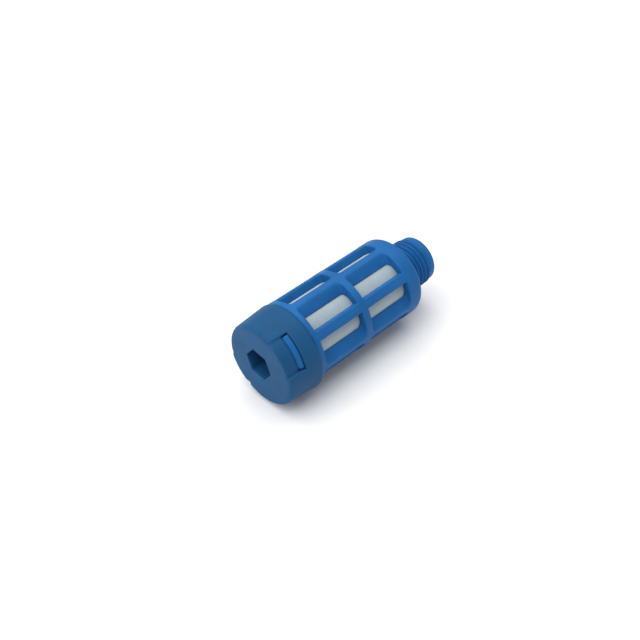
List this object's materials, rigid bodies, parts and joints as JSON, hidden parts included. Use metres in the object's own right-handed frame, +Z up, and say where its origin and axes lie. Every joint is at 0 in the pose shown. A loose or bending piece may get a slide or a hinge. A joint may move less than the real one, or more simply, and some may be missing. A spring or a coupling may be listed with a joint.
{
  "type": "pneumatic muffler",
  "caption": "Screw-in exhaust muffler: a windowed cage with a threaded nipple around a porous filter tube, closed by a clipped cap with a hexagon socket.",
  "frame": {"origin": "centre of the sealing shoulder, on the muffler's axis", "axes": "+X along the muffler's axis, out of the threaded nipple and into the port; +Z up with the muffler lying on its side, through one of the cage's side ribs"},
  "size_m": [0.0559, 0.0228, 0.0228],
  "materials": {
    "cage_plastic": "satin moulded plastic, saturated blue",
    "porous_filter": "sintered porous plastic, off-white, finely grained",
    "cap_plastic": "satin moulded plastic, duller greyish blue"
  },
  "bodies": {
    "root": {"threaded_cage": "cage_plastic", "filter_tube": "porous_filter", "end_cap": "cap_plastic"}
  },
  "joints": []
}
